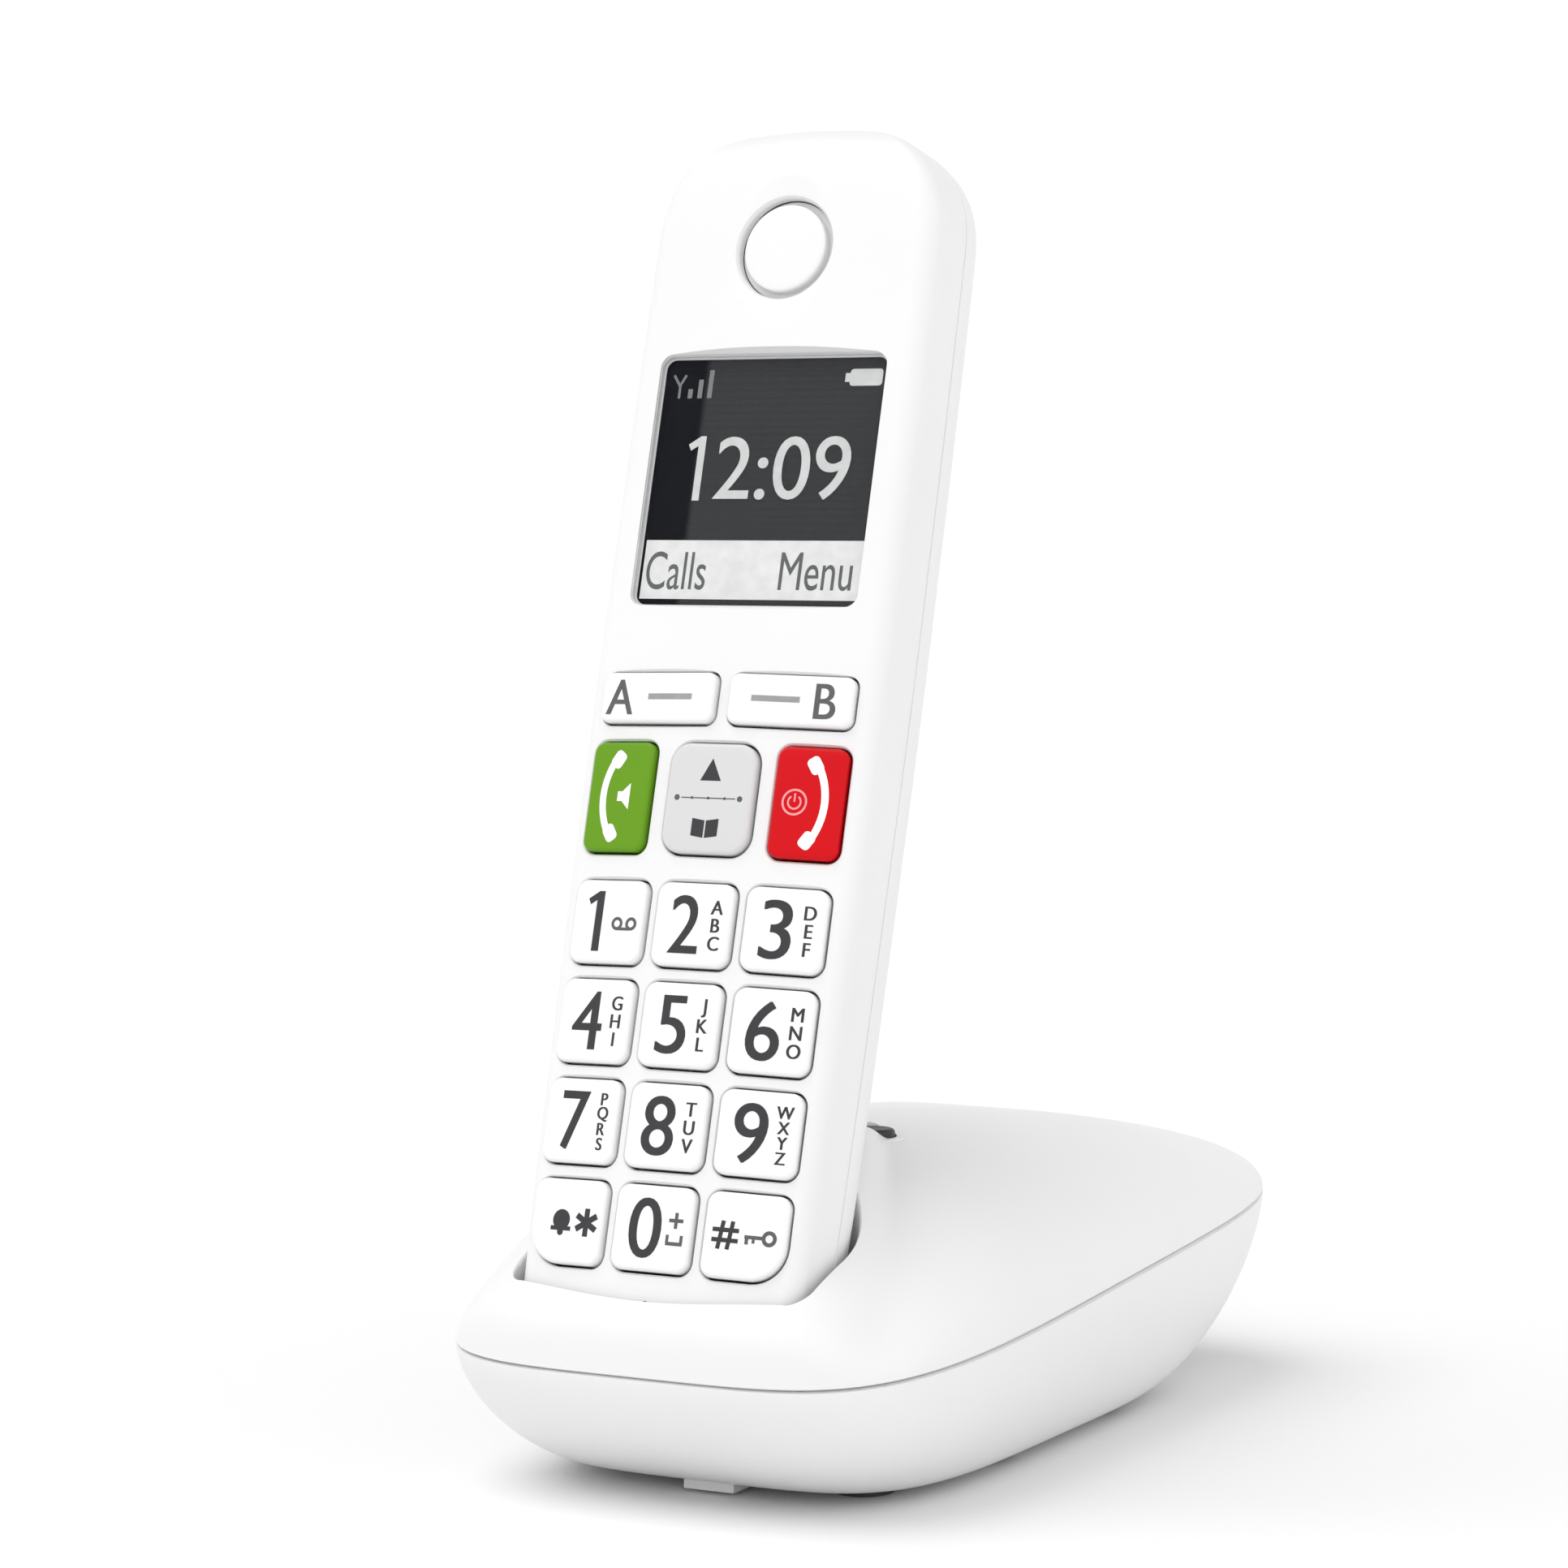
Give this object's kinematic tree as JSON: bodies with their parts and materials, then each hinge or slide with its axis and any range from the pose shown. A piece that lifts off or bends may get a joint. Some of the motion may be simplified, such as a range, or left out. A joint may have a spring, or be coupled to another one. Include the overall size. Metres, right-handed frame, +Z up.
{
  "type": "cordless phone with base",
  "caption": "White keypad handset with display, earpiece slot and battery bay, leaning back in a rounded desktop charging base.",
  "frame": {"origin": "centre of the base's outline on the table", "axes": "+Z up along the height, +X to the right seen from the front, +Y towards the back; the keys face -Y"},
  "size_m": [0.0824, 0.1542, 0.194],
  "materials": {
    "housing_white": "satin gloss",
    "key_white": "satin gloss",
    "key_green": "satin gloss",
    "key_red": "satin gloss",
    "key_grey": "satin",
    "lens": "polished",
    "lcd_glass": "smooth",
    "inner_white": "satin",
    "grey_plastic": "satin",
    "dark_plastic": "matte",
    "circuit_board": "solder mask",
    "silicone": "matte",
    "cell_sleeve": "shrink sleeve",
    "spring_metal": "plated",
    "gold_metal": "gold plated",
    "screw_steel": "plated",
    "foot_rubber": "matte"
  },
  "bodies": {
    "base": {"base_top_shell": "housing_white", "base_bottom_shell": "housing_white", "pin_holder": "inner_white", "feet": "foot_rubber", "base_screws": "screw_steel", "base_pcb": "circuit_board", "base_rf_shield": "spring_metal", "base_antennas": "gold_metal", "pcb_pins": "screw_steel", "power_jack": "dark_plastic", "line_jack": "dark_plastic", "jack_contacts": "gold_metal"},
    "handset": {"handset_front_shell": "housing_white", "handset_rear_shell": "housing_white", "earpiece_cap": "housing_white", "battery_cell_left": "cell_sleeve", "battery_cell_right": "cell_sleeve", "battery_contacts": "spring_metal", "display_lens": "lens", "lcd_panel": "lcd_glass", "lcd_frame": "inner_white", "earpiece_gauze": "grey_plastic", "earpiece_speaker": "dark_plastic", "handset_pcb": "circuit_board", "handset_antenna": "gold_metal", "keypad_mat": "silicone", "ringer_speaker": "dark_plastic", "microphone": "dark_plastic", "handset_charge_pads": "spring_metal", "handset_screws": "screw_steel"},
    "battery_cover": {"battery_cover": "housing_white"},
    "paging_key": {"paging_key": "grey_plastic"},
    "charge_pin_left": {"charge_pin_left": "gold_metal"},
    "charge_pin_right": {"charge_pin_right": "gold_metal"},
    "key_1": {"key_1": "key_white"},
    "key_2": {"key_2": "key_white"},
    "key_3": {"key_3": "key_white"},
    "key_4": {"key_4": "key_white"},
    "key_5": {"key_5": "key_white"},
    "key_6": {"key_6": "key_white"},
    "key_7": {"key_7": "key_white"},
    "key_8": {"key_8": "key_white"},
    "key_9": {"key_9": "key_white"},
    "key_star": {"key_star": "key_white"},
    "key_0": {"key_0": "key_white"},
    "key_hash": {"key_hash": "key_white"},
    "key_talk": {"key_talk": "key_green"},
    "key_end": {"key_end": "key_red"},
    "key_nav": {"key_nav": "key_grey"},
    "key_a": {"key_a": "key_white"},
    "key_b": {"key_b": "key_white"}
  },
  "joints": [
    {"name": "handset_lift", "type": "slide", "parent": "base", "child": "handset", "axis": [0, 0.2672, 0.9636], "range_m": [0, 0.06]},
    {"name": "key_1_press", "type": "slide", "parent": "handset", "child": "key_1", "axis": [0.1094, 0.9578, -0.2656], "range_m": [0, 0.0006], "stiffness_N_per_m": 30, "springref_m": -0.0005},
    {"name": "key_2_press", "type": "slide", "parent": "handset", "child": "key_2", "axis": [0, 0.9636, -0.2672], "range_m": [0, 0.0006], "stiffness_N_per_m": 30, "springref_m": -0.0005},
    {"name": "key_3_press", "type": "slide", "parent": "handset", "child": "key_3", "axis": [-0.1094, 0.9578, -0.2656], "range_m": [0, 0.0006], "stiffness_N_per_m": 30, "springref_m": -0.0005},
    {"name": "key_4_press", "type": "slide", "parent": "handset", "child": "key_4", "axis": [0.1094, 0.9578, -0.2656], "range_m": [0, 0.0006], "stiffness_N_per_m": 30, "springref_m": -0.0005},
    {"name": "key_5_press", "type": "slide", "parent": "handset", "child": "key_5", "axis": [0, 0.9636, -0.2672], "range_m": [0, 0.0006], "stiffness_N_per_m": 30, "springref_m": -0.0005},
    {"name": "key_6_press", "type": "slide", "parent": "handset", "child": "key_6", "axis": [-0.1094, 0.9578, -0.2656], "range_m": [0, 0.0006], "stiffness_N_per_m": 30, "springref_m": -0.0005},
    {"name": "key_7_press", "type": "slide", "parent": "handset", "child": "key_7", "axis": [0.1094, 0.9578, -0.2656], "range_m": [0, 0.0006], "stiffness_N_per_m": 30, "springref_m": -0.0005},
    {"name": "key_8_press", "type": "slide", "parent": "handset", "child": "key_8", "axis": [0, 0.9636, -0.2672], "range_m": [0, 0.0006], "stiffness_N_per_m": 30, "springref_m": -0.0005},
    {"name": "key_9_press", "type": "slide", "parent": "handset", "child": "key_9", "axis": [-0.1094, 0.9578, -0.2656], "range_m": [0, 0.0006], "stiffness_N_per_m": 30, "springref_m": -0.0005},
    {"name": "key_star_press", "type": "slide", "parent": "handset", "child": "key_star", "axis": [0.1094, 0.9578, -0.2656], "range_m": [0, 0.0006], "stiffness_N_per_m": 30, "springref_m": -0.0005},
    {"name": "key_0_press", "type": "slide", "parent": "handset", "child": "key_0", "axis": [0, 0.9636, -0.2672], "range_m": [0, 0.0006], "stiffness_N_per_m": 30, "springref_m": -0.0005},
    {"name": "key_hash_press", "type": "slide", "parent": "handset", "child": "key_hash", "axis": [-0.1094, 0.9578, -0.2656], "range_m": [0, 0.0006], "stiffness_N_per_m": 30, "springref_m": -0.0005},
    {"name": "key_talk_press", "type": "slide", "parent": "handset", "child": "key_talk", "axis": [0.118, 0.9569, -0.2654], "range_m": [0, 0.0006], "stiffness_N_per_m": 30, "springref_m": -0.0005},
    {"name": "key_end_press", "type": "slide", "parent": "handset", "child": "key_end", "axis": [-0.118, 0.9569, -0.2654], "range_m": [0, 0.0006], "stiffness_N_per_m": 30, "springref_m": -0.0005},
    {"name": "key_a_press", "type": "slide", "parent": "handset", "child": "key_a", "axis": [0.0828, 0.9603, -0.2663], "range_m": [0, 0.0006], "stiffness_N_per_m": 30, "springref_m": -0.0005},
    {"name": "key_b_press", "type": "slide", "parent": "handset", "child": "key_b", "axis": [-0.0828, 0.9603, -0.2663], "range_m": [0, 0.0006], "stiffness_N_per_m": 30, "springref_m": -0.0005},
    {"name": "key_nav_rock", "type": "hinge", "parent": "handset", "child": "key_nav", "pos_m": [0, -0.05261, 0.0981], "axis": [1, 0, 0], "range_deg": [-3, 3], "stiffness_Nm_per_rad": 0.0005},
    {"name": "battery_cover_off", "type": "slide", "parent": "handset", "child": "battery_cover", "axis": [0, 0.9636, -0.2672], "range_m": [0, 0.02]},
    {"name": "paging_key_press", "type": "slide", "parent": "base", "child": "paging_key", "axis": [0, 0, -1], "range_m": [0, 0.0008], "stiffness_N_per_m": 30, "springref_m": -0.0005},
    {"name": "charge_pin_left_press", "type": "slide", "parent": "base", "child": "charge_pin_left", "axis": [0, 0.2672, 0.9636], "range_m": [-0.001, 0], "stiffness_N_per_m": 30, "springref_m": 0.0005},
    {"name": "charge_pin_right_press", "type": "slide", "parent": "base", "child": "charge_pin_right", "axis": [0, 0.2672, 0.9636], "range_m": [-0.001, 0], "stiffness_N_per_m": 30, "springref_m": 0.0005}
  ]
}
